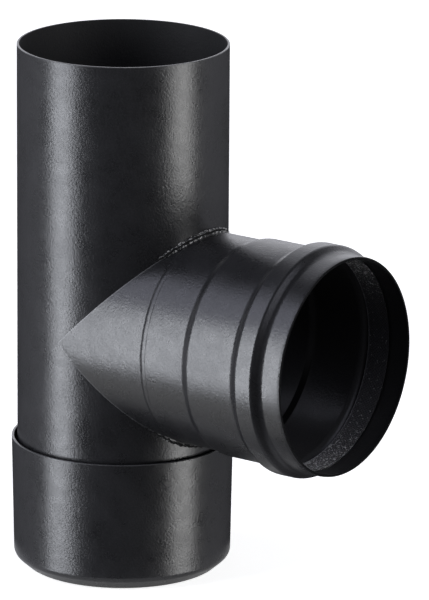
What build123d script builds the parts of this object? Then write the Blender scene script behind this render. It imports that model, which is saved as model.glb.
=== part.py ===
# Stove pipe tee: a single-wall 90 degree tee for a stove's flue, standing on its soot cap.
#
# The run tube stands upright on the Z axis. A V-shaped mitre opening in its side takes the branch, which
# runs along +X: a mitred saddle cut from the same tube, then a swaged end piece with a step up to the
# socket, a raised bead that holds the sealing gasket, and a plain lip at the mouth. A drawn cap is pushed
# over the run tube's lower end. The origin is the centre of the cap's underside. Sizes are in millimetres.

from build123d import *
import os

# Tube stock of the run tube and the saddle. The pipes that plug into this tee have the same diameter.
tube_diameter = 100.0
tube_wall = 1.2

# Cap: its rim stands clear of the tube, and its side tapers in towards the tube's lower end
cap_height = 63.1
cap_wall = 1.2
cap_edge = 6.5  # height and width of the slanted edge between the cap's side and its floor
cap_rim_gap = 1.55  # radial gap to the tube at the rim
cap_seat_gap = 0.5  # radial gap to the tube just above the slanted edge

# Run tube, measured from the branch
cap_to_branch = 6.0  # height from the cap's rim to the underside of the branch
run_above_branch = 85.1  # straight tube above the upper side of the branch

# Ring weld between the saddle and the end piece
saddle_shortfall = 0.1  # the saddle's end lies this far inside the outer side of the run tube
seam_root = 1.0  # gap between the two butted edges
seam_width = 3.0
seam_crown = 0.25  # height of the weld over the saddle's surface

# End piece, along the branch from the weld to the mouth
end_wall = 1.2
tail_oversize = 0.4  # radius of the tail over that of the tube
tail_length = 22.4
step_run = 3.9
pipe_clearance = 0.7  # radial gap between the socket and the pipe that plugs into it
socket_length = 25.4
bead_rise_run = 4.9
bead_height = 3.2
bead_crest = 8.5
bead_fall_run = 3.4
lip_length = 10.6

# Gasket in the bead
gasket_ease = 0.1  # gap between the gasket and the bead's inner side
gasket_proud = 0.15  # the gasket's face stands this far inside the socket's wall
gasket_width = 11.7

# Weld beads over the two crotches of the branch: arcs that bend more than the joint and fade into it
crotch_bead_radius = 2.0  # from the middle of the bead to the corners of its section
crotch_bead_flats = 8
crotch_bead_stand_off = 0.3  # from the crotch out to the middle of the bead
crotch_bead_tightness = 0.93  # radius of the bead's arc as a share of the joint's own at the crotch

# Places worked out from the sizes above
tube_radius = tube_diameter / 2
tube_bore = tube_radius - tube_wall
run_bottom = cap_edge + cap_wall
branch_height = cap_height + cap_to_branch + tube_radius
run_top = branch_height + tube_radius + run_above_branch
saddle_end = tube_radius - saddle_shortfall
tail_start = saddle_end + seam_root
tail_radius = tube_radius + tail_oversize
step_start = tail_start + tail_length
socket_start = step_start + step_run
socket_radius = tube_radius + pipe_clearance + end_wall
bead_start = socket_start + socket_length
crest_start = bead_start + bead_rise_run
crest_end = crest_start + bead_crest
crest_radius = socket_radius + bead_height
bead_end = crest_end + bead_fall_run
mouth = bead_end + lip_length

section_plane = Plane.XZ
at_branch = Pos(0, 0, branch_height)


def moved_aside(points, distance):
    """Points of a line moved to the right of its way by the distance, with each corner kept a corner."""
    ways = [(Vector(*b) - Vector(*a)).normalized() for a, b in zip(points, points[1:])]
    sides = [Vector(way.Y, -way.X) for way in ways]
    moved = []
    for i, point in enumerate(points):
        before = sides[max(i - 1, 0)]
        after = sides[min(i, len(sides) - 1)]
        moved.append(Vector(*point) + (before + after) * (distance / (1 + before.dot(after))))
    return moved


def sheet_section(points, wall):
    """Section of a formed sheet of one thickness. Its outer side runs through the points, with the wall
    to the right of them."""
    outline = Polyline(*points, *moved_aside(points, wall)[::-1], close=True)
    return make_face(section_plane * outline)


def at_length(a, b, length):
    """Point on the line through a and b at that place along the first axis."""
    return a + (b - a) * ((length - a.X) / (b.X - a.X))


def at_radius(a, b, radius):
    """Point on the line through a and b at that radius."""
    return a + (b - a) * ((radius - a.Y) / (b.Y - a.Y))


def along_run(radius, low, high):
    """Solid cylinder on the run tube's axis."""
    return Pos(0, 0, (low + high) / 2) * Cylinder(radius, high - low)


def along_branch(radius, near, far):
    """Solid cylinder on the branch's axis."""
    return at_branch * Pos((near + far) / 2, 0, 0) * Rot(0, 90, 0) * Cylinder(radius, far - near)


def branch_side():
    """Everything on the branch's side of the two 45 degree mitre planes."""
    reach = mouth
    corner = make_face(section_plane * Polyline((0, 0), (reach, reach), (reach, -reach), close=True))
    return at_branch * extrude(corner, amount=reach, both=True)


def run_tube():
    tube = along_run(tube_radius, run_bottom, run_top) - along_run(tube_bore, 0, run_top + tube_wall)
    return tube - branch_side()


def branch_saddle():
    tube = along_branch(tube_radius, 0, saddle_end) - along_branch(tube_bore, -tube_wall, mouth)
    return tube & branch_side()


def branch_socket():
    """Tail, step, socket, bead and lip, formed from one tube."""
    line = [
        (tail_start, tail_radius),
        (step_start, tail_radius),
        (socket_start, socket_radius),
        (bead_start, socket_radius),
        (crest_start, crest_radius),
        (crest_end, crest_radius),
        (bead_end, socket_radius),
        (mouth, socket_radius),
    ]
    return at_branch * revolve(sheet_section(line, end_wall), Axis.X)


def seam_weld():
    """Ring weld: a root that fills the gap between the edges, and a low crown over both of them."""
    middle = (saddle_end + tail_start) / 2
    section = Polyline(
        (middle - seam_width / 2, tube_radius),
        (middle, tube_radius + tail_oversize / 2 + seam_crown),
        (middle + seam_width / 2, tail_radius),
        (tail_start, tail_radius),
        (tail_start, tail_radius - end_wall),
        (saddle_end, tube_bore),
        (saddle_end, tube_radius),
        close=True,
    )
    ring = revolve(make_face(section_plane * section), Axis.X)
    return (at_branch * ring) & branch_side()


def saddle_weld(side):
    """Crescent of weld over one crotch of the branch: side is 1 for the upper and -1 for the lower."""
    crotch = tube_radius * Vector(1, 0, side)
    outwards = crotch.normalized()
    joint_radius = tube_radius**2 / crotch.length
    arc_radius = joint_radius * crotch_bead_tightness
    centre = crotch + outwards * (crotch_bead_stand_off - arc_radius)
    mitre = Plane(origin=centre, x_dir=outwards, z_dir=Vector(1, 0, -side))
    half_flat = 180 / crotch_bead_flats
    section = Pos(arc_radius, 0) * RegularPolygon(crotch_bead_radius, crotch_bead_flats, rotation=half_flat)
    ring = revolve(section_plane * section, Axis.Z)
    bead = at_branch * (mitre * ring)
    bead -= along_run(tube_radius, run_bottom, run_top)
    bead -= along_branch(tube_radius, 0, saddle_end)
    bead -= along_branch(tail_radius, saddle_end, step_start)
    return bead - seam_weld()


def socket_gasket():
    """Sealing band that fills the bead from its fall side, with its face just inside the socket's wall."""
    face_radius = tube_radius + pipe_clearance - gasket_proud
    bead = [
        (bead_start, socket_radius),
        (crest_start, crest_radius),
        (crest_end, crest_radius),
        (bead_end, socket_radius),
    ]
    rise_foot, rise_top, fall_top, fall_foot = moved_aside(bead, end_wall + gasket_ease)
    mouth_edge = at_radius(fall_top, fall_foot, face_radius)
    inner_edge = mouth_edge.X - gasket_width
    band = Polyline(
        (inner_edge, face_radius),
        at_length(rise_foot, rise_top, inner_edge),
        rise_top,
        fall_top,
        mouth_edge,
        close=True,
    )
    return at_branch * revolve(make_face(section_plane * band), Axis.X)


def end_cap():
    """Drawn cap: flat floor, slanted lower edge and a side that opens slightly towards the rim."""
    seat_radius = tube_radius + cap_seat_gap + cap_wall
    line = [
        (tube_radius + cap_rim_gap + cap_wall, cap_height),
        (seat_radius, cap_edge),
        (seat_radius - cap_edge, 0),
        (0, 0),
    ]
    return revolve(sheet_section(line, cap_wall), Axis.Z)


nodes = {
    "run_tube": run_tube(),
    "branch_saddle": branch_saddle(),
    "branch_socket": branch_socket(),
    "seam_weld": seam_weld(),
    "upper_saddle_weld": saddle_weld(1),
    "lower_saddle_weld": saddle_weld(-1),
    "socket_gasket": socket_gasket(),
    "end_cap": end_cap(),
}

os.makedirs("parts", exist_ok=True)
for name, solid in nodes.items():
    export_step(solid, f"parts/{name}.step")
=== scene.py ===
"""Looks of the stove pipe tee: satin black sheet steel tubes with an orange-peel paint, rough weld beads over
the crotches of the branch, a woven sealing band in the socket's bead, and a small pale studio around them."""

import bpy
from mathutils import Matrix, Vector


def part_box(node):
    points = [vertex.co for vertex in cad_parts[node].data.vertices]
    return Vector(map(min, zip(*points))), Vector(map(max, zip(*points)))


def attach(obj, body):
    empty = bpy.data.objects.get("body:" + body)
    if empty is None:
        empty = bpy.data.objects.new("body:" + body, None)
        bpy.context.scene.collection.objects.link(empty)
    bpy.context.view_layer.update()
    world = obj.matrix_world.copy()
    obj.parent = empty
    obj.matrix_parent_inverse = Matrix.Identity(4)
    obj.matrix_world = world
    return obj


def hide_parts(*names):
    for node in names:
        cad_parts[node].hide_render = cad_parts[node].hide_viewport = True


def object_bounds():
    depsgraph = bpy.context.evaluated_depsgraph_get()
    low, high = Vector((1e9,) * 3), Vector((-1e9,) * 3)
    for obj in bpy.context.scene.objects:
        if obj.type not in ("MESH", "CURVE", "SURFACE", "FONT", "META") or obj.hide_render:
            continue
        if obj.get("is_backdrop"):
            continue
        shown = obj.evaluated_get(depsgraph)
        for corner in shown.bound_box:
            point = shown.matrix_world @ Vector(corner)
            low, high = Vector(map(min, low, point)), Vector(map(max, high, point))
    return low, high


bl_info = {
    "name": "Stove Pipe Tee",
    "version": (1, 0, 0),
    "blender": (4, 5, 0),
    "location": "3D View > Sidebar > Stove Pipe Tee",
    "description": "Builds the painted tubes, the welds, the sealing band and the cap of a stove pipe tee",
    "category": "Mesh",
}

from math import cos, pi, radians, sin, tan

import bmesh
import bpy
from bpy.props import FloatProperty, FloatVectorProperty, PointerProperty
from mathutils import Matrix, Vector

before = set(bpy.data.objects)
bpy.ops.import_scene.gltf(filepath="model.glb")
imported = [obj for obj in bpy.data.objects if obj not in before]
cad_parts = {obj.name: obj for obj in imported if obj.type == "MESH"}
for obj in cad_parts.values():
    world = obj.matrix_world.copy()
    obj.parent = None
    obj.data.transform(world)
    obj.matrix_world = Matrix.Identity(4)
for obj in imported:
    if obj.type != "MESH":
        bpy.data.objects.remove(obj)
cad_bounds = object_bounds()

run_low, run_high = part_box("run_tube")
saddle_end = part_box("branch_saddle")[1].x
socket_low, socket_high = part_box("branch_socket")
cap_low, cap_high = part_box("end_cap")
band_low, band_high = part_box("socket_gasket")

MM = 0.001
BRANCH_HEIGHT = (socket_low.z + socket_high.z) / 2
BRANCH_CENTRE = Vector((0, 0, BRANCH_HEIGHT))
TURNS = {"X": (0, pi / 2, 0), "Z": (0, 0, 0)}  # from a primitive's own axis to that of the branch or the run
TOUCHING = 1e-6  # points nearer to each other than this are one
TUBE_SIDES = 256
FINE_SIDES = 512  # for the ring weld and the sealing band


def length(name, description, default):
    """A length that the user may change."""
    return FloatProperty(name=name, description=description, default=default, unit="LENGTH", precision=5)


def angle(name, description, degrees):
    """An angle that the user may change."""
    return FloatProperty(name=name, description=description, default=radians(degrees), unit="ROTATION")


def radiance(name, description, default):
    """The strength of a lamp or of a side of the room that the user may change."""
    return FloatProperty(name=name, description=description, default=default, min=0.0)


def swatch(name, description, default):
    """A colour that the user may change."""
    return FloatVectorProperty(name=name, description=description, default=default, subtype="COLOR")


class TeeSizes(bpy.types.PropertyGroup):
    """Sizes of the tubes, the welds, the sealing band and the cap"""

    tube_radius: length("Tube radius", "Outer radius of the run tube and the saddle", run_high.y)
    wall: length("Wall", "Thickness of the sheet that every tube is made of", 1.2 * MM)
    rim_round: length("Rim round", "Round on the cut edges of the run tube and the cap", 0.3 * MM)
    lip_round: length("Lip round", "Round on the crisper edge of the socket's mouth", 0.12 * MM)
    tail_oversize: length("Tail oversize", "Radius of the socket's tail over that of the tube", 0.4 * MM)
    tail_length: length("Tail length", "From the ring weld to the step", 22.8 * MM)
    step_run: length("Step run", "Length of the step up to the socket", 3.1 * MM)
    socket_rise: length("Socket rise", "Outer radius of the socket over that of the tube", 1.9 * MM)
    socket_length: length("Socket length", "Straight wall between the step and the bead", 26.5 * MM)
    bead_rise_run: length("Bead rise run", "Length of the slope up to the bead's crest", 3.5 * MM)
    bead_crest: length("Bead crest", "Length of the bead's flat crest", 9.2 * MM)
    bead_fall_run: length("Bead fall run", "Length of the slope down to the lip", 3.1 * MM)
    lip_curl: length("Lip curl", "How far the lip's last part turns in", 0.2 * MM)
    lip_curl_run: length("Lip curl run", "Length of that last part", 1.1 * MM)
    bend: length("Bend", "How far the crisp bends of the socket reach along its wall", 0.9 * MM)
    soft_bend: length("Soft bend", "How far the bends at the two feet of the bead reach", 1.7 * MM)
    cap_edge: length("Cap edge", "Width of the slanted edge under the cap's side", 6.5 * MM)
    cap_edge_height: length("Cap edge height", "Height of that slanted edge", 5.7 * MM)
    cap_taper: length("Cap taper", "How much wider the cap is at its rim than above that edge", 1.05 * MM)
    cap_bend: length("Cap bend", "How far the bends beside that edge reach along the wall", 1.6 * MM)
    seam_width: length("Seam width", "Width of the ring weld up to its far shoulder", 3.0 * MM)
    seam_crown: length("Seam crown", "Height of the ring weld over the tail", 0.04 * MM)
    crotch_bead: length("Crotch bead", "Radius of the weld beads over the crotches", 2.0 * MM)
    crotch_bead_stand_off: length("Bead stand-off", "From the crotch out to the middle of its bead", 0.4 * MM)
    crotch_bead_lean: length("Bead lean", "How far each crotch bead sits over on the run tube", 0.6 * MM)
    crotch_bead_arc: length("Bead arc", "Radius of the arc that each crotch bead follows", 32.9 * MM)
    weld_roughness: length("Weld roughness", "Height of the lumps on the crotch beads", 1.3 * MM)
    band_round: length("Band round", "Round on the inner edges of the sealing band", 0.5 * MM)


class TeeFinish(bpy.types.PropertyGroup):
    """Colours of the paint, the welds and the sealing band, and the surface of the paint"""

    paint: swatch("Paint", "Colour of the stove paint", (0.011, 0.011, 0.012))
    # lighter paint where it is thin on the rims, and a painted highlight on the socket's lower near rim
    worn_paint_and_highlight: swatch("Worn paint", "Colour of the paint where it is thin on the rims", (0.09, 0.09, 0.092))
    inner_paint: swatch("Inner paint", "Colour of the dustier inner sides", (0.020, 0.020, 0.021))
    dust: swatch("Dust", "Colour of the specks of dust on the paint", (0.16, 0.16, 0.155))
    crack: swatch("Crack", "Colour of the cracked paint beside the ring weld", (0.002, 0.002, 0.002))
    # painted shade in the middle of the crotch beads
    shaded_groove: swatch("Groove", "Colour of the dark groove in the crotch beads", (0.001, 0.001, 0.001))
    # painted glints on the toes of the crotch beads
    painted_glint: swatch("Bare metal", "Colour of the worn grains on the crotch beads", (0.5, 0.5, 0.49))
    cloth: swatch("Cloth", "Colour of the woven sealing band", (0.036, 0.036, 0.040))
    # bright specks in the sealing band, partly filament and partly painted glints
    filaments_and_glints: swatch("Filaments", "Colour of the bright filaments in the sealing band", (0.7, 0.7, 0.72))
    gloss_roughness: FloatProperty(
        name="Gloss roughness", description="Roughness of the paint's shine", default=0.29, subtype="FACTOR"
    )
    peel_pitch: length("Peel pitch", "Distance between the bumps of the orange-peel surface", 0.95 * MM)
    peel_height: length("Peel height", "Height of the bumps of the orange-peel surface", 0.105 * MM)


class TeeStudio(bpy.types.PropertyGroup):
    """Place and lens of the camera, and strength of the lights"""

    view_azimuth: angle("View azimuth", "Camera's way round the Z axis from -Y", 36.757)
    view_elevation: angle("View elevation", "Camera's height as an angle", 15.539)
    view_roll: angle("View roll", "Camera's turn about its own axis", 0.366)
    view_distance: length("View distance", "From the camera to the middle of the picture", 3.0692)
    view_height: length("View height", "Height on the run tube's axis that the framing starts from", 0.1256)
    view_right: length("View right", "Shift of the framing to the right", 0.043499)
    view_up: length("View up", "Shift of the framing upwards", 0.003364)
    lens: FloatProperty(name="Lens", description="Focal length of the camera", default=388.5, unit="CAMERA")
    lamp_distance: length("Lamp distance", "From the tee to each soft lamp", 3.0)
    key_light: radiance("Key light", "Radiance of the large left lamp", 8.6)
    glow_light: radiance("Glow light", "Radiance of the soft glow over that lamp", 2.1)
    side_light: radiance("Side light", "Radiance of the right lamp", 6.05)
    wall_light: radiance("Wall light", "Radiance of the room's side walls", 0.7)
    ground_light: radiance("Ground light", "Radiance of the ground under the tee", 0.4)
    room_light: radiance("Room light", "Radiance of the dark side of the room", 0.062)


# Shapes


def deselect():
    """Leaves no object selected."""
    bpy.ops.object.select_all(action="DESELECT")


def open_piece(name):
    """Names the new active object and opens it in edit mode."""
    piece = bpy.context.object
    piece.name = name
    piece.data.name = name
    bpy.ops.object.transform_apply(location=True, rotation=True, scale=True)
    bpy.ops.object.mode_set(mode="EDIT")
    return piece


def middle(item):
    """Middle of an edge or a face."""
    if isinstance(item, bmesh.types.BMEdge):
        return (item.verts[0].co + item.verts[1].co) / 2
    return item.calc_center_median()


def pick(piece, kind, test):
    """Selects the edges or faces whose middle passes the test, and nothing else."""
    bpy.ops.mesh.select_all(action="DESELECT")
    bpy.ops.mesh.select_mode(type=kind)
    mesh = bmesh.from_edit_mesh(piece.data)
    items = {"EDGE": mesh.edges, "FACE": mesh.faces}[kind]
    picked = [item for item in items if test(middle(item))]
    if not picked:
        raise RuntimeError(f"nothing to pick on {piece.name}")
    for item in picked:
        item.select = True
    mesh.select_flush_mode()
    bmesh.update_edit_mesh(piece.data)


def pick_rings(piece, axis, places):
    """Selects the edges of the rings at these places along the axis."""
    index = "XYZ".index(axis)
    pick(piece, "EDGE", lambda point: any(abs(point[index] - place) < TOUCHING for place in places))


def merge_doubles():
    """Merges the points that touch, and leaves the whole mesh selected."""
    bpy.ops.mesh.select_mode(type="VERT")
    bpy.ops.mesh.select_all(action="SELECT")
    bpy.ops.mesh.remove_doubles(threshold=TOUCHING)


def ring_tube(name, line, axis, sides=TUBE_SIDES):
    """A tube grown ring by ring along the axis of the run (Z) or the branch (X): each point of the line is a
    place along the axis and a radius, and a line that comes back to its start makes a closed wall. The piece
    stays in edit mode, so that its ends and corners can be worked on."""

    def on_axis(place):
        return (place, 0, BRANCH_HEIGHT) if axis == "X" else (0, 0, place)

    start, start_radius = line[0]
    deselect()
    bpy.ops.mesh.primitive_circle_add(
        vertices=sides, radius=start_radius, location=on_axis(start), rotation=TURNS[axis]
    )
    piece = open_piece(name)
    bpy.ops.mesh.select_mode(type="EDGE")
    bpy.ops.mesh.select_all(action="SELECT")
    for (place, radius), (next_place, next_radius) in zip(line, line[1:]):
        step = next_place - place
        move = (step, 0, 0) if axis == "X" else (0, 0, step)
        bpy.ops.mesh.extrude_edges_move(TRANSFORM_OT_translate={"value": move})
        growth = next_radius / radius
        stretch = (1, growth, growth) if axis == "X" else (growth, growth, 1)
        bpy.ops.transform.resize(value=stretch, center_override=on_axis(next_place))
    if line[0] == line[-1]:
        merge_doubles()
    return piece


def closed_section(outer, wall):
    """Outer line and its inner side at one wall's distance in radius, as a loop back to the first point."""
    inner = [(place, radius - wall) for place, radius in reversed(outer)]
    return outer + inner + outer[:1]


def round_rings(piece, axis, places, offset, segments):
    """Rounds the ring edges at these places along the axis."""
    pick_rings(piece, axis, places)
    bpy.ops.mesh.bevel(offset=offset, offset_type="OFFSET", segments=segments, profile=0.5, affect="EDGES")


def cut_at_mitres(piece, keep_branch):
    """Cuts the wall along the two 45 degree planes of the joint, keeps one side and closes the cut."""
    for side in (1, -1):
        bpy.ops.mesh.select_all(action="SELECT")
        bpy.ops.mesh.bisect(plane_co=BRANCH_CENTRE, plane_no=(1, 0, side), threshold=TOUCHING)

    def goes(point):
        on_branch_side = point.x > abs(point.z - BRANCH_HEIGHT)
        return on_branch_side != keep_branch

    pick(piece, "FACE", goes)
    bpy.ops.mesh.delete(type="FACE")
    bpy.ops.mesh.select_mode(type="EDGE")
    bpy.ops.mesh.select_non_manifold()
    bpy.ops.mesh.bridge_edge_loops()


def finish_modifier(piece, kind, **settings):
    """Adds a modifier and applies it."""
    modifier = piece.modifiers.new(kind.title(), kind)
    for key, value in settings.items():
        setattr(modifier, key, value)
    bpy.ops.object.modifier_apply(modifier=modifier.name)


def shade(piece, smooth_angle):
    """Smooth shading up to this angle in degrees, with the long walls kept straight between their bends."""
    bpy.ops.object.shade_smooth_by_angle(angle=radians(smooth_angle))
    finish_modifier(piece, "WEIGHTED_NORMAL", mode="FACE_AREA", weight=100, keep_sharp=True)


def close_piece(piece, smooth_angle=30):
    """Merges doubles, turns the faces outwards, leaves edit mode and shades the piece."""
    merge_doubles()
    bpy.ops.mesh.normals_make_consistent(inside=False)
    bpy.ops.object.mode_set(mode="OBJECT")
    shade(piece, smooth_angle)


def roughen(piece, name, pitch, strength, direction="NORMAL"):
    """Pushes the surface in and out by a fine cloud texture."""
    texture = bpy.data.textures.new(name, "CLOUDS")
    texture.noise_scale = pitch
    texture.noise_depth = 2
    finish_modifier(
        piece,
        "DISPLACE",
        texture=texture,
        strength=strength,
        mid_level=0.5,
        direction=direction,
        texture_coords="LOCAL",
    )


def cut_away_core(piece, axis, radius):
    """Cuts away what lies nearer than this to the axis of the run (Z) or the branch (X)."""
    core_length = 300 * MM
    deselect()
    bpy.ops.mesh.primitive_cylinder_add(
        vertices=TUBE_SIDES, radius=radius, depth=core_length, location=BRANCH_CENTRE, rotation=TURNS[axis]
    )
    core = bpy.context.object
    bpy.ops.object.transform_apply(location=True, rotation=True, scale=True)
    deselect()
    piece.select_set(True)
    bpy.context.view_layer.objects.active = piece
    finish_modifier(piece, "BOOLEAN", operation="DIFFERENCE", object=core, solver="EXACT")
    bpy.data.objects.remove(core)


def dress(piece, node, body, material):
    """Gives the piece its material and body, and lets it stand for the CAD node, which it hides."""
    piece.data.materials.clear()
    piece.data.materials.append(material)
    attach(piece, body)
    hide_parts(node)


# Materials


def feed(tree, node, inputs):
    """Gives the node's inputs their values, or links them to outputs of other nodes."""
    for key, value in inputs.items():
        if isinstance(value, bpy.types.NodeSocket):
            tree.links.new(value, node.inputs[key])
        else:
            node.inputs[key].default_value = value


def add(tree, kind, inputs=None, **settings):
    """Adds a node with its settings and its inputs."""
    node = tree.nodes.new(kind)
    for key, value in settings.items():
        setattr(node, key, value)
    feed(tree, node, inputs or {})
    return node


def calc(tree, operation, *values):
    """Result of a Math node."""
    return add(tree, "ShaderNodeMath", dict(enumerate(values)), operation=operation).outputs[0]


def vector_calc(tree, operation, *values, output="Vector"):
    """Result of a Vector Math node."""
    node = add(tree, "ShaderNodeVectorMath", dict(enumerate(values)), operation=operation)
    return node.outputs[output]


def ramp(tree, value, low, high, to_low=0.0, to_high=1.0):
    """Smooth step of the value from one range to another."""
    inputs = {"Value": value, "From Min": low, "From Max": high, "To Min": to_low, "To Max": to_high}
    return add(tree, "ShaderNodeMapRange", inputs, interpolation_type="SMOOTHSTEP").outputs["Result"]


def noise(tree, place, pitch, detail=2.0, roughness=0.5):
    """Noise from 0 to 1 with about this distance between its bumps."""
    inputs = {"Vector": place, "Scale": 1 / pitch, "Detail": detail, "Roughness": roughness}
    return add(tree, "ShaderNodeTexNoise", inputs).outputs["Fac"]


def blend(tree, factor, a, b):
    """Mix of two colours. Sockets 0, 6 and 7 are the factor and the colours, and 2 is the mixed colour."""
    return add(tree, "ShaderNodeMix", {0: factor, 6: a, 7: b}, data_type="RGBA").outputs[2]


def separate(tree, vector):
    """The vector's X, Y and Z."""
    return add(tree, "ShaderNodeSeparateXYZ", {"Vector": vector}).outputs


def relief(tree, height):
    """Normal of a surface with this height, in metres."""
    return add(tree, "ShaderNodeBump", {"Height": height, "Strength": 1.0, "Distance": 1.0}).outputs["Normal"]


def rgba(colour, factor=1.0):
    """The colour, made lighter or darker by the factor, with its alpha."""
    return tuple(c * factor for c in colour) + (1.0,)


def beside_mitre(tree, xyz):
    """Distance from the joint's nearer mitre plane, more than zero on the branch's side."""
    up = calc(tree, "ABSOLUTE", calc(tree, "SUBTRACT", xyz["Z"], BRANCH_HEIGHT))
    return calc(tree, "MULTIPLY", calc(tree, "SUBTRACT", xyz["X"], up), cos(pi / 4))


def new_material(name):
    """An empty material with its shader, and the object's coordinates."""
    material = bpy.data.materials.new(name)
    material.use_nodes = True
    tree = material.node_tree
    tree.nodes.clear()
    output = add(tree, "ShaderNodeOutputMaterial")
    shader = add(tree, "ShaderNodeBsdfPrincipled")
    tree.links.new(shader.outputs["BSDF"], output.inputs["Surface"])
    place = add(tree, "ShaderNodeTexCoord").outputs["Object"]
    return material, tree, shader, place


class StovePaint:
    """Satin black stove paint with an orange-peel surface, faint clouds in its colour and shine, and sparse
    specks of dust. The methods lay what is special on one piece over it, in the order in which they are
    called, and the last one gives its material."""

    grain_pitch = 0.9 * MM
    cloud_pitch = 22 * MM
    dust_pitch = 9 * MM
    swell_pitch = 6  # times the peel's pitch
    swell_height = 0.6  # times the peel's height
    glint_pitch = 0.8  # times the peel's pitch
    raggedness = 0.5 * MM  # how far the edge of thin paint on a rim wanders

    def __init__(self, name):
        look = bpy.context.scene.tee_finish
        material, tree, shader, place = new_material(name)
        self.look = look
        self.made = material
        self.tree = tree
        self.shader = shader
        self.place = place
        self.xyz = separate(tree, place)
        self.grain = noise(tree, place, self.grain_pitch)
        peel = noise(tree, place, look.peel_pitch)
        swell = noise(tree, place, look.peel_pitch * self.swell_pitch, detail=1.0)
        clouds = noise(tree, place, self.cloud_pitch, detail=4.0, roughness=0.6)
        sparkle = noise(tree, place, look.peel_pitch * self.glint_pitch)
        scattered = {"Vector": place, "Scale": 1 / self.dust_pitch, "Randomness": 1.0}
        from_speck = add(tree, "ShaderNodeTexVoronoi", scattered).outputs["Distance"]

        cloudy = ramp(tree, clouds, 0.3, 0.7)
        self.colour = blend(tree, cloudy, rgba(look.paint, 0.8), rgba(look.paint, 1.25))
        self.cover(ramp(tree, self.grain, 0.35, 0.75, 0.0, 0.5), rgba(look.paint, 1.9))
        self.cover(ramp(tree, from_speck, 0.012, 0.03, 0.55, 0.0), rgba(look.dust))

        cloud_shine = ramp(tree, clouds, 0.25, 0.75, -0.025, 0.03)
        swell_shine = ramp(tree, swell, 0.3, 0.7, -0.02, 0.02)
        self.roughness = calc(tree, "ADD", calc(tree, "ADD", cloud_shine, swell_shine), look.gloss_roughness)
        self.glint = ramp(tree, sparkle, 0.3, 0.7, 0.455, 0.565)

        bumps = calc(tree, "MULTIPLY", peel, look.peel_height)
        swells = calc(tree, "MULTIPLY", swell, look.peel_height * self.swell_height)
        self.height = calc(tree, "ADD", bumps, swells)

    def cover(self, mask, colour):
        """Lays a colour over the paint where the mask says."""
        self.colour = blend(self.tree, mask, self.colour, colour)

    def quieten(self, mask, share):
        """Leaves only this share of the shine where the mask says."""
        kept = ramp(self.tree, mask, 0.0, 1.0, 1.0, share)
        self.glint = calc(self.tree, "MULTIPLY", self.glint, kept)

    def wear_above(self, height, reach=0.2 * MM):
        """Thin paint on a rim at this height."""
        ragged = calc(self.tree, "MULTIPLY_ADD", self.grain, self.raggedness, self.xyz["Z"])
        thin = ramp(self.tree, ragged, height - reach, height + reach, 0.0, 0.7)
        self.cover(thin, rgba(self.look.worn_paint_and_highlight))

    def wear_mouth_with_highlight(self, mouth, reach=0.3 * MM):
        """Thin paint on the rim at this place along the branch, and a painted highlight that makes it lighter
        mostly on its lower near side.
        """
        tree = self.tree
        ragged = calc(tree, "MULTIPLY_ADD", self.grain, self.raggedness, self.xyz["X"])
        thin = ramp(tree, ragged, mouth - reach, mouth + reach, 0.0, 0.35)
        # painted highlight: the rim is lighter mostly on its lower near side
        upper_far = calc(tree, "ADD", self.xyz["Y"], self.xyz["Z"])
        share = ramp(tree, upper_far, BRANCH_HEIGHT - 60 * MM, BRANCH_HEIGHT - 25 * MM, 1.0, 0.12)
        self.cover(calc(tree, "MULTIPLY", thin, share), rgba(self.look.worn_paint_and_highlight))

    def wear_mitre(self):
        """Thin paint along the mitre's edge."""
        thin = ramp(self.tree, beside_mitre(self.tree, self.xyz), 0.25 * MM, 0.6 * MM, 0.8, 0.0)
        self.cover(thin, rgba(self.look.worn_paint_and_highlight))

    def crack(self, toe, depth=1.0):
        """Thin jagged line along a toe of the ring weld, which runs out under the branch."""
        tree = self.tree
        waver, jag = 1.0 * MM, 0.9 * MM
        slow = noise(tree, self.place, 9 * MM, detail=3.0, roughness=0.7)
        quick = noise(tree, self.place, 1.3 * MM, detail=3.0, roughness=0.8)
        wander = calc(tree, "MULTIPLY_ADD", slow, waver, toe - (waver + jag) / 2)
        wander = calc(tree, "MULTIPLY_ADD", quick, jag, wander)
        away = calc(tree, "ABSOLUTE", calc(tree, "SUBTRACT", self.xyz["X"], wander))
        line = ramp(tree, away, 0.05 * MM, 0.2 * MM, 1.0, 0.0)
        above = ramp(tree, self.xyz["Z"], BRANCH_HEIGHT - 32 * MM, BRANCH_HEIGHT - 16 * MM)
        line = calc(tree, "MULTIPLY", calc(tree, "MULTIPLY", line, above), depth)
        self.cover(line, rgba(self.look.crack))
        self.roughness = calc(tree, "ADD", self.roughness, calc(tree, "MULTIPLY", line, 0.4))
        self.height = calc(tree, "SUBTRACT", self.height, calc(tree, "MULTIPLY", line, 0.08 * MM))

    def dull_inside(self, axis, dullness, dustiness):
        """Duller and dustier paint on the side that faces the tube's axis."""
        tree = self.tree
        across = (1, 1, 0) if axis == "Z" else (0, 1, 1)
        centre = (0, 0, 0) if axis == "Z" else BRANCH_CENTRE
        normal = add(tree, "ShaderNodeTexCoord").outputs["Normal"]
        from_centre = vector_calc(tree, "SUBTRACT", self.place, centre)
        outwards = vector_calc(tree, "NORMALIZE", vector_calc(tree, "MULTIPLY", from_centre, across))
        facing = vector_calc(tree, "DOT_PRODUCT", outwards, normal, output="Value")
        self.inside = ramp(tree, facing, -0.5, -0.1, 1.0, 0.0)
        self.roughness = calc(tree, "ADD", self.roughness, calc(tree, "MULTIPLY", self.inside, dullness))
        self.quieten(self.inside, 1 - 2 * dullness)
        self.cover(self.inside, rgba(self.look.inner_paint, dustiness))

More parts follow.
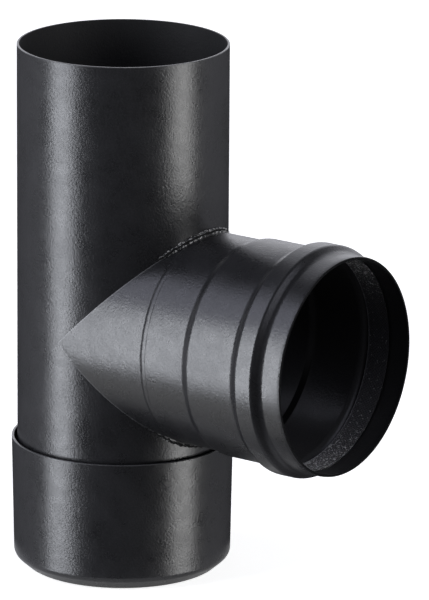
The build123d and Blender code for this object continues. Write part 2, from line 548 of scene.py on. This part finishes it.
    def shade_low_inside(self, start, end):
        """Painted shade that lies low inside the branch between two places along it: darker paint with little
        shine. It comes after dull_inside.
        """
        tree, x, z = self.tree, self.xyz["X"], self.xyz["Z"]
        after_start = ramp(tree, x, start - 0.2 * MM, start + 0.4 * MM)
        before_end = ramp(tree, x, end - 0.4 * MM, end + 0.2 * MM, 1.0, 0.0)
        low = ramp(tree, z, BRANCH_HEIGHT - 30 * MM, BRANCH_HEIGHT - 8 * MM, 1.0, 0.0)
        low_between = calc(tree, "MULTIPLY", calc(tree, "MULTIPLY", after_start, before_end), low)
        # painted shade low inside the branch between the two places
        low_shade = calc(tree, "MULTIPLY", self.inside, low_between)
        self.cover(low_shade, rgba(self.look.paint, 0.3))
        self.quieten(low_shade, 0.2)

    def shade_cut_edge(self, mouth):
        """Painted shade on the lip's cut edge: black paint with little shine."""
        cut = ramp(self.tree, self.xyz["X"], mouth - 0.12 * MM, mouth - 0.04 * MM)
        self.cover(cut, rgba(self.look.paint, 0.3))
        self.quieten(cut, 0.1)

    def material(self):
        """The finished paint."""
        surface = {
            "Base Color": self.colour,
            "Roughness": self.roughness,
            "Specular IOR Level": self.glint,
            "Normal": relief(self.tree, self.height),
        }
        feed(self.tree, self.shader, surface)
        return self.made


def weld_paint(name):
    """The same paint over rough weld metal: a ragged line sunk along the middle whose near-black colour is
    painted shade, and bright grains on the high spots of both toes, which are painted glints, most of them in
    the middle of the bead's length."""
    look = bpy.context.scene.tee_finish
    material, tree, shader, place = new_material(name)
    xyz = separate(tree, place)
    waver = 1.6 * MM
    groove_side = 0.1 * MM  # how far the groove runs from the mitre plane
    lumps = noise(tree, place, 0.9 * MM, detail=4.0, roughness=0.7)
    pits = noise(tree, place, 1.1 * MM)
    wander = calc(tree, "MULTIPLY_ADD", noise(tree, place, 2.2 * MM, detail=3.0), waver, -waver / 2)
    from_groove = calc(tree, "ADD", calc(tree, "ADD", beside_mitre(tree, xyz), groove_side), wander)
    aside = calc(tree, "ABSOLUTE", from_groove)
    # painted shade: near-black along the bead's middle, where the same mask also sinks the surface
    shaded_groove = ramp(tree, aside, 0.25 * MM, 0.55 * MM, 1.0, 0.0)
    toes = ramp(tree, aside, 0.4 * MM, 0.8 * MM)
    near_middle = ramp(tree, calc(tree, "ABSOLUTE", xyz["Y"]), 21 * MM, 28 * MM, 1.0, 0.25)
    # painted glints: bright grains on the toes' high spots, mostly near the bead's middle
    glinting = calc(tree, "MULTIPLY", calc(tree, "MULTIPLY", ramp(tree, pits, 0.50, 0.60), toes), near_middle)
    colour = blend(tree, ramp(tree, lumps, 0.35, 0.65), rgba(look.paint, 0.35), rgba(look.paint, 2.0))
    colour = blend(tree, glinting, colour, rgba(look.painted_glint))
    colour = blend(tree, shaded_groove, colour, rgba(look.shaded_groove))
    surface = {
        "Base Color": colour,
        "Roughness": calc(tree, "ADD", ramp(tree, pits, 0.3, 0.7, 0.3, 0.5), shaded_groove),
        "Normal": relief(tree, calc(tree, "MULTIPLY", calc(tree, "SUBTRACT", lumps, shaded_groove), 0.4 * MM)),
    }
    feed(tree, shader, surface)
    return material


def band_cloth(name):
    """Black woven sealing band: threads that cross at a slant, fuzz, a lighter hem along the inner edge, and
    bright specks, partly filament and partly painted glint, which are many near the bottom and the top, where
    light falls on the band, and few between."""
    look = bpy.context.scene.tee_finish
    material, tree, shader, place = new_material(name)
    xyz = separate(tree, place)
    thread_pitch = 1.7 * MM
    hem_at = band_low.x + 0.1 * MM
    up = calc(tree, "SUBTRACT", xyz["Z"], BRANCH_HEIGHT)
    around = calc(tree, "MULTIPLY", calc(tree, "ARCTAN2", xyz["Y"], up), band_high.y)
    slants = [calc(tree, "MULTIPLY_ADD", xyz["X"], way, around) for way in (1, -1)]
    ribs = [calc(tree, "SINE", calc(tree, "MULTIPLY", slant, 2 * pi / thread_pitch)) for slant in slants]
    weave = calc(tree, "MAXIMUM", *ribs)
    fuzz = noise(tree, place, 0.35 * MM, detail=3.0, roughness=0.7)
    height = calc(tree, "MULTIPLY_ADD", weave, 0.10 * MM, calc(tree, "MULTIPLY", fuzz, 0.35 * MM))
    from_hem = calc(tree, "ABSOLUTE", calc(tree, "SUBTRACT", xyz["X"], hem_at))
    hem = ramp(tree, from_hem, 0.2 * MM, 0.6 * MM, 0.8, 0.0)
    from_middle = calc(tree, "ABSOLUTE", calc(tree, "ADD", up, 8 * MM))
    # painted glints: more bright specks towards the bottom and the top of the band, where light falls
    glints_toward_ends = ramp(tree, from_middle, 20 * MM, 46 * MM, 0.0, 0.11)
    strands_and_glints = calc(tree, "ADD", noise(tree, place, 1.0 * MM, detail=3.0, roughness=0.7), glints_toward_ends)
    colour = blend(tree, ramp(tree, weave, -0.6, 0.9), rgba(look.cloth, 0.4), rgba(look.cloth, 1.6))
    colour = blend(tree, hem, colour, rgba(look.cloth, 5.0))
    colour = blend(tree, ramp(tree, strands_and_glints, 0.645, 0.71), colour, rgba(look.filaments_and_glints))
    surface = {
        "Base Color": colour,
        "Roughness": 0.75,
        "Sheen Weight": 0.15,
        "Normal": relief(tree, height),
    }
    feed(tree, shader, surface)
    return material


# Pieces


class TEE_OT_run_tube(bpy.types.Operator):
    """Upright run tube with its rounded rims and the mitre opening for the branch"""

    bl_idname = "tee.run_tube"
    bl_label = "Run Tube"

    def execute(self, context):
        s = context.scene.tee_sizes
        outer = [(run_low.z, s.tube_radius), (run_high.z, s.tube_radius)]
        piece = ring_tube("run_tube_wall", closed_section(outer, s.wall), "Z")
        round_rings(piece, "Z", (run_low.z, run_high.z), s.rim_round, segments=3)
        cut_at_mitres(piece, keep_branch=False)
        close_piece(piece)
        paint = StovePaint("run_tube_paint")
        paint.wear_above(run_high.z)
        paint.dull_inside("Z", dullness=0.3, dustiness=0.85)
        dress(piece, "run_tube", "tee", paint.material())
        return {"FINISHED"}


class TEE_OT_branch_saddle(bpy.types.Operator):
    """Saddle of the branch, mitred to fit the run tube's opening"""

    bl_idname = "tee.branch_saddle"
    bl_label = "Branch Saddle"

    crack_side = 1.1 * MM  # from the saddle's end to the crack along the near toe of the ring weld

    def execute(self, context):
        s = context.scene.tee_sizes
        outer = [(0.0, s.tube_radius), (saddle_end, s.tube_radius)]
        piece = ring_tube("branch_saddle_wall", closed_section(outer, s.wall), "X")
        cut_at_mitres(piece, keep_branch=True)
        close_piece(piece)
        paint = StovePaint("saddle_paint")
        paint.wear_mitre()
        paint.crack(saddle_end - self.crack_side)
        paint.dull_inside("X", dullness=0.05, dustiness=1.5)
        dress(piece, "branch_saddle", "tee", paint.material())
        return {"FINISHED"}


class TEE_OT_branch_socket(bpy.types.Operator):
    """Swaged end of the branch: tail, step, socket, gasket bead and lip, with soft bends"""

    bl_idname = "tee.branch_socket"
    bl_label = "Branch Socket"

    curl_share = 0.75  # share of the lip's curled part that its bend takes up

    def execute(self, context):
        s = context.scene.tee_sizes
        tail = s.tube_radius + s.tail_oversize
        socket = s.tube_radius + s.socket_rise
        crest = socket_high.y
        step_start = socket_low.x + s.tail_length
        socket_start = step_start + s.step_run
        bead_start = socket_start + s.socket_length
        crest_start = bead_start + s.bead_rise_run
        crest_end = crest_start + s.bead_crest
        bead_end = crest_end + s.bead_fall_run
        mouth = socket_high.x
        curl_start = mouth - s.lip_curl_run
        outer = [
            (socket_low.x, tail),
            (step_start, tail),
            (socket_start, socket),
            (bead_start, socket),
            (crest_start, crest),
            (crest_end, crest),
            (bead_end, socket),
            (curl_start, socket),
            (mouth, socket - s.lip_curl),
        ]
        piece = ring_tube("branch_socket_wall", closed_section(outer, s.wall), "X")
        round_rings(piece, "X", (bead_start, bead_end), s.soft_bend, segments=6)
        round_rings(piece, "X", (step_start, socket_start, crest_start, crest_end), s.bend, segments=4)
        round_rings(piece, "X", (curl_start,), s.lip_curl_run * self.curl_share, segments=6)
        round_rings(piece, "X", (mouth,), s.lip_round, segments=3)
        close_piece(piece)
        paint = StovePaint("socket_paint")
        paint.wear_mouth_with_highlight(mouth)
        paint.dull_inside("X", dullness=0.05, dustiness=1.5)
        # painted shade low inside the step
        paint.shade_low_inside(step_start, socket_start)
        # painted shade on the lip's cut edge
        paint.shade_cut_edge(mouth)
        dress(piece, "branch_socket", "tee", paint.material())
        return {"FINISHED"}


class TEE_OT_seam_weld(bpy.types.Operator):
    """Fine ring weld between the saddle and the socket's tail, with ragged toes"""

    bl_idname = "tee.seam_weld"
    bl_label = "Seam Weld"

    near_sink = 0.1 * MM  # of the near toe into the saddle
    near_slope = 0.3 * MM
    shoulder_height = 0.03 * MM
    far_slope = 0.5 * MM
    far_sink = 0.15 * MM  # of the far toe into the tail
    root_depth = 0.6 * MM
    crack_side = 1.5 * MM  # from the weld's middle to the crack along its far toe

    def execute(self, context):
        s = context.scene.tee_sizes
        centre = (saddle_end + socket_low.x) / 2
        tail = s.tube_radius + s.tail_oversize
        root = s.tube_radius - self.root_depth
        near_toe = centre - s.seam_width / 2
        far_shoulder = centre + s.seam_width / 2
        far_toe = far_shoulder + self.far_slope
        section = [
            (near_toe, s.tube_radius - self.near_sink),
            (near_toe + self.near_slope, tail - self.shoulder_height),
            (centre, tail + s.seam_crown),
            (far_shoulder, tail + self.shoulder_height),
            (far_toe, tail - self.far_sink),
            (far_toe, root),
            (near_toe, root),
        ]
        piece = ring_tube("ring_weld_bead", section + section[:1], "X", FINE_SIDES)
        close_piece(piece, smooth_angle=60)
        roughen(piece, "ring_weld_lumps", pitch=1.4 * MM, strength=0.06 * MM)
        roughen(piece, "ring_weld_toes", pitch=3.0 * MM, strength=0.7 * MM, direction="X")
        paint = StovePaint("ring_weld_paint")
        paint.crack(centre + self.crack_side, depth=0.6)
        dress(piece, "seam_weld", "tee", paint.material())
        return {"FINISHED"}


class TEE_OT_saddle_welds(bpy.types.Operator):
    """Rough weld beads over the two crotches of the branch"""

    bl_idname = "tee.saddle_welds"
    bl_label = "Saddle Welds"

    half_span = radians(60)  # of each bead's arc
    bite = 0.3 * MM  # how deep the beads reach into the tubes' walls
    fewest_faces = 1000

    def execute(self, context):
        s = context.scene.tee_sizes
        paint = weld_paint("crotch_weld_paint")
        for side, name, node in (
            (1, "upper_crotch_bead", "upper_saddle_weld"),
            (-1, "lower_crotch_bead", "lower_saddle_weld"),
        ):
            outwards = Vector((1, 0, side)).normalized()
            crotch = Vector((s.tube_radius, 0, BRANCH_HEIGHT + side * s.tube_radius))
            centre = crotch + outwards * (s.crotch_bead_stand_off - s.crotch_bead_arc)
            centre += Vector((-1, 0, side)).normalized() * s.crotch_bead_lean
            deselect()
            bpy.ops.mesh.primitive_torus_add(
                location=centre,
                rotation=(0, radians(90 + 45 * side), 0),
                major_radius=s.crotch_bead_arc,
                minor_radius=s.crotch_bead,
                major_segments=560,
                minor_segments=36,
            )
            piece = open_piece(name)
            bpy.ops.mesh.select_all(action="SELECT")
            bpy.ops.mesh.bisect(
                plane_co=centre + outwards * (s.crotch_bead_arc * cos(self.half_span)),
                plane_no=outwards,
                clear_inner=True,
                use_fill=True,
                threshold=TOUCHING,
            )
            close_piece(piece, smooth_angle=60)
            for axis in ("Z", "X"):
                cut_away_core(piece, axis, s.tube_radius - self.bite)
            if len(piece.data.polygons) < self.fewest_faces:
                raise RuntimeError(f"{name} was lost in the cut")
            roughen(piece, name + "_lumps", pitch=1.8 * MM, strength=s.weld_roughness)
            roughen(piece, name + "_grains", pitch=0.7 * MM, strength=s.weld_roughness * 0.5)
            bpy.ops.object.shade_smooth_by_angle(angle=radians(50))
            dress(piece, node, "tee", paint)
        return {"FINISHED"}


class TEE_OT_sealing_band(bpy.types.Operator):
    """Woven sealing band that lies in the socket's bead"""

    bl_idname = "tee.sealing_band"
    bl_label = "Sealing Band"

    early_start = 0.5 * MM  # how far the band starts before its CAD node
    early_end = 0.1 * MM  # how far it ends before that node's end
    back_gap = 0.05 * MM  # from the node's back to that of the band
    pipe_gap = 0.55 * MM  # from a pipe in the socket to the band's face
    outer_edge = 0.15 * MM
    outer_slope = 2.4 * MM
    inner_slope = 1.2 * MM
    inner_drop = 0.7 * MM

    def execute(self, context):
        s = context.scene.tee_sizes
        inner = band_low.x - self.early_start
        outer = band_high.x - self.early_end
        face = s.tube_radius + self.pipe_gap
        back = band_high.y - self.back_gap
        section = [
            (inner, face),
            (outer, face),
            (outer, face + self.outer_edge),
            (outer - self.outer_slope, back),
            (inner + self.inner_slope, back),
            (inner, back - self.inner_drop),
        ]
        piece = ring_tube("sealing_band_weave", section + section[:1], "X", FINE_SIDES)
        round_rings(piece, "X", (inner,), s.band_round, segments=3)
        close_piece(piece, smooth_angle=40)
        dress(piece, "socket_gasket", "tee", band_cloth("sealing_band_cloth"))
        return {"FINISHED"}


class TEE_OT_end_cap(bpy.types.Operator):
    """Drawn cap with its slanted lower edge and its slightly open side"""

    bl_idname = "tee.end_cap"
    bl_label = "End Cap"

    def execute(self, context):
        s = context.scene.tee_sizes
        edge_top = cap_low.z + s.cap_edge_height
        foot = cap_high.y - s.cap_taper
        line = [(cap_low.z, foot - s.cap_edge), (edge_top, foot), (cap_high.z, cap_high.y)]
        piece = ring_tube("end_cap_wall", line, "Z")
        pick_rings(piece, "Z", (cap_low.z,))
        bpy.ops.mesh.edge_face_add()
        round_rings(piece, "Z", (cap_low.z, edge_top), s.cap_bend, segments=4)
        close_piece(piece, smooth_angle=40)
        finish_modifier(piece, "SOLIDIFY", thickness=s.wall, offset=-1, use_even_offset=True)
        corner = radians(60)
        finish_modifier(
            piece, "BEVEL", width=s.rim_round, segments=3, limit_method="ANGLE", angle_limit=corner
        )
        shade(piece, smooth_angle=40)
        paint = StovePaint("end_cap_paint")
        paint.wear_above(cap_high.z, reach=0.25 * MM)
        dress(piece, "end_cap", "cap", paint.material())
        return {"FINISHED"}


# Studio


def mirrored_rays(tree, path):
    """1 for what the paint mirrors or lets through, and 0 for all else."""
    return calc(tree, "MAXIMUM", path["Is Glossy Ray"], path["Is Transmission Ray"])


class TEE_OT_studio(bpy.types.Operator):
    """Pale floor, soft lamps, a room that is white behind the tee and dark before it, and the camera"""

    bl_idname = "tee.studio"
    bl_label = "Studio"

    mat_radius = 66 * MM
    floor_gap = 0.02 * MM  # from the tee down to its mat, and from the mat to the floor

    def execute(self, context):
        view = context.scene.tee_studio
        self.place_camera(view)
        self.hang_lamps(view)
        self.lay_floor()
        self.fill_room(view)
        context.scene.view_settings.view_transform = "Standard"
        return {"FINISHED"}

    def place_camera(self, view):
        """Camera at the photograph's viewing angle."""
        azimuth, elevation, roll = view.view_azimuth, view.view_elevation, view.view_roll
        back = Vector((sin(azimuth) * cos(elevation), -cos(azimuth) * cos(elevation), sin(elevation)))
        level = Vector((cos(azimuth), sin(azimuth), 0))
        steep = back.cross(level)
        right = level * cos(roll) + steep * sin(roll)
        up = steep * cos(roll) - level * sin(roll)
        target = Vector((0, 0, view.view_height)) + right * view.view_right + up * view.view_up
        deselect()
        bpy.ops.object.camera_add()
        camera = bpy.context.object
        camera.name = "tee_camera"
        camera.data.lens = view.lens
        camera.data.sensor_width = 36
        camera.data.clip_end = 50
        turned = Matrix((right, up, back)).transposed().to_4x4()
        camera.matrix_world = Matrix.Translation(target + back * view.view_distance) @ turned
        bpy.context.scene.camera = camera

    def hang_lamps(self, view):
        """Soft lamps round the tee. Each has its turn from the camera, its half width and its lower and upper
        edge, all in degrees as the branch sees them, its radiance and its tint."""
        plain = (1, 1, 1)
        cool = (0.95, 0.98, 1.05)
        bluish = (0.90, 0.92, 1.10)
        for name, turn, half_width, low, high, strength, tint in (
            ("key_lamp", -68.5, 13, -27.2, 29, view.key_light, cool),
            ("upper_glow", -80, 25, 29, 62, view.glow_light, bluish),
            ("lower_glow", -85, 25, -46, -30, view.glow_light * 0.45, plain),
            ("floor_glow", -85, 25, -58, -46, view.glow_light * 0.27, plain),
            ("back_glow", 180, 35, 3, 30, view.glow_light * 0.19, plain),
            ("front_glow", 53, 30, 29, 58, view.glow_light * 0.5, bluish),
            ("side_lamp", 67, 13, -27, 29, view.side_light, plain),
        ):
            heading = view.view_azimuth + radians(turn - 90)
            way = Vector((cos(heading), sin(heading), 0))
            width = 2 * view.lamp_distance * tan(radians(half_width))
            top = view.lamp_distance * tan(radians(high))
            bottom = view.lamp_distance * tan(radians(low))
            tall = top - bottom
            where = way * view.lamp_distance + Vector((0, 0, BRANCH_HEIGHT + (top + bottom) / 2))
            deselect()
            bpy.ops.object.light_add(type="AREA", location=where)
            lamp = bpy.context.object
            lamp.name = name
            lamp.data.color = tint
            lamp.rotation_euler = way.to_track_quat("Z", "Y").to_euler()
            lamp.data.shape = "RECTANGLE"
            lamp.data.size = width
            lamp.data.size_y = tall
            lamp.data.energy = strength * pi * width * tall
            lamp.visible_camera = False

    def lay_floor(self):
        """A wide floor for the camera alone, and a small mat under the tee that its paint also mirrors."""
        material, tree, shader, _ = new_material("studio_floor_paint")
        path = add(tree, "ShaderNodeLightPath").outputs
        seen = calc(tree, "MULTIPLY", path["Is Camera Ray"], 0.8)
        mirrored = calc(tree, "MULTIPLY", mirrored_rays(tree, path), 0.27)
        surface = {
            "Base Color": (0.8, 0.8, 0.8, 1),
            "Roughness": 0.9,
            "Specular IOR Level": 0.0,
            "Emission Color": (1, 1, 1, 1),
            "Emission Strength": calc(tree, "MAXIMUM", seen, mirrored),
        }
        feed(tree, shader, surface)
        deselect()
        bpy.ops.mesh.primitive_plane_add(size=40, location=(0, 0, -2 * self.floor_gap))
        floor = bpy.context.object
        floor.name = "studio_floor"
        floor.data.materials.append(material)
        floor.visible_glossy = False
        floor.visible_diffuse = False
        floor.visible_shadow = False
        floor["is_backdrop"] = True
        deselect()
        bpy.ops.mesh.primitive_circle_add(
            vertices=TUBE_SIDES, radius=self.mat_radius, fill_type="NGON", location=(0, 0, -self.floor_gap)
        )
        mat = bpy.context.object
        mat.name = "studio_mat"
        mat.data.materials.append(material)
        mat.visible_diffuse = False
        mat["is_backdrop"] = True

    def fill_room(self, view):
        """The world: plain white for the camera, and for what the paint mirrors a white back wall, dimmer
        side walls and a grey ground. All the rest is the faint light of the room's dark side."""
        world = bpy.data.worlds.new("studio_room")
        world.use_nodes = True
        bpy.context.scene.world = world
        tree = world.node_tree
        tree.nodes.clear()
        way = add(tree, "ShaderNodeTexCoord").outputs["Generated"]
        behind = (-sin(view.view_azimuth), cos(view.view_azimuth), 0)
        facing = vector_calc(tree, "DOT_PRODUCT", way, behind, output="Value")
        height = separate(tree, way)["Z"]

        over_ground = ramp(tree, height, -0.25, 0.05, 0.03, 1.0)
        back_wall = calc(tree, "MULTIPLY", ramp(tree, facing, 0.3, 0.75), over_ground)
        foot = ramp(tree, height, -0.45, -0.25)
        top = ramp(tree, height, 0.0, 0.25, 1.0, 0.0)
        level = calc(tree, "MULTIPLY", foot, top)
        near_end = ramp(tree, facing, -0.05, 0.15)
        far_end = ramp(tree, facing, -0.1, 1.1, 1.0, 0.0)
        beside = calc(tree, "MULTIPLY", near_end, far_end)
        side_walls = calc(tree, "MULTIPLY", calc(tree, "MULTIPLY", level, beside), view.wall_light)
        ground = ramp(tree, height, -0.97, -0.85, view.ground_light, 0.0)
        around = calc(tree, "MAXIMUM", calc(tree, "MAXIMUM", back_wall, side_walls), ground)
        dim = ramp(tree, facing, 0.75, 0.97, view.room_light, view.room_light * 0.15)

        path = add(tree, "ShaderNodeLightPath").outputs
        for_camera = path["Is Camera Ray"]
        strength = calc(tree, "MAXIMUM", calc(tree, "MULTIPLY", mirrored_rays(tree, path), around), dim)
        strength = calc(tree, "MAXIMUM", strength, for_camera)
        colour = blend(tree, for_camera, (0.95, 0.96, 1.05, 1.0), (1.0, 1.0, 1.0, 1.0))
        background = add(tree, "ShaderNodeBackground", {"Color": colour, "Strength": strength})
        output = add(tree, "ShaderNodeOutputWorld")
        tree.links.new(background.outputs["Background"], output.inputs["Surface"])


class TEE_PT_sidebar(bpy.types.Panel):
    """Buttons and settings of the stove pipe tee"""

    bl_label = "Stove Pipe Tee"
    bl_idname = "TEE_PT_sidebar"
    bl_space_type = "VIEW_3D"
    bl_region_type = "UI"
    bl_category = "Stove Pipe Tee"

    def draw(self, context):
        for operator in OPERATORS:
            self.layout.operator(operator.bl_idname)
        for name, group in GROUPS.items():
            for key in group.__annotations__:
                self.layout.prop(getattr(context.scene, name), key)


OPERATORS = (
    TEE_OT_run_tube,
    TEE_OT_branch_saddle,
    TEE_OT_branch_socket,
    TEE_OT_seam_weld,
    TEE_OT_saddle_welds,
    TEE_OT_sealing_band,
    TEE_OT_end_cap,
    TEE_OT_studio,
)
GROUPS = {"tee_sizes": TeeSizes, "tee_finish": TeeFinish, "tee_studio": TeeStudio}


def register():
    for cls in (*GROUPS.values(), *OPERATORS, TEE_PT_sidebar):
        bpy.utils.register_class(cls)
    for name, group in GROUPS.items():
        setattr(bpy.types.Scene, name, PointerProperty(type=group))


def unregister():
    for name in GROUPS:
        delattr(bpy.types.Scene, name)
    for cls in (TEE_PT_sidebar, *reversed(OPERATORS), *reversed(GROUPS.values())):
        bpy.utils.unregister_class(cls)


def main():
    register()
    bpy.ops.tee.run_tube()
    bpy.ops.tee.branch_saddle()
    bpy.ops.tee.branch_socket()
    bpy.ops.tee.seam_weld()
    bpy.ops.tee.saddle_welds()
    bpy.ops.tee.sealing_band()
    bpy.ops.tee.end_cap()
    bpy.ops.tee.studio()
    corners = [[list(corner) for corner in bounds] for bounds in (cad_bounds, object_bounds())]


if __name__ == "__main__":
    main()
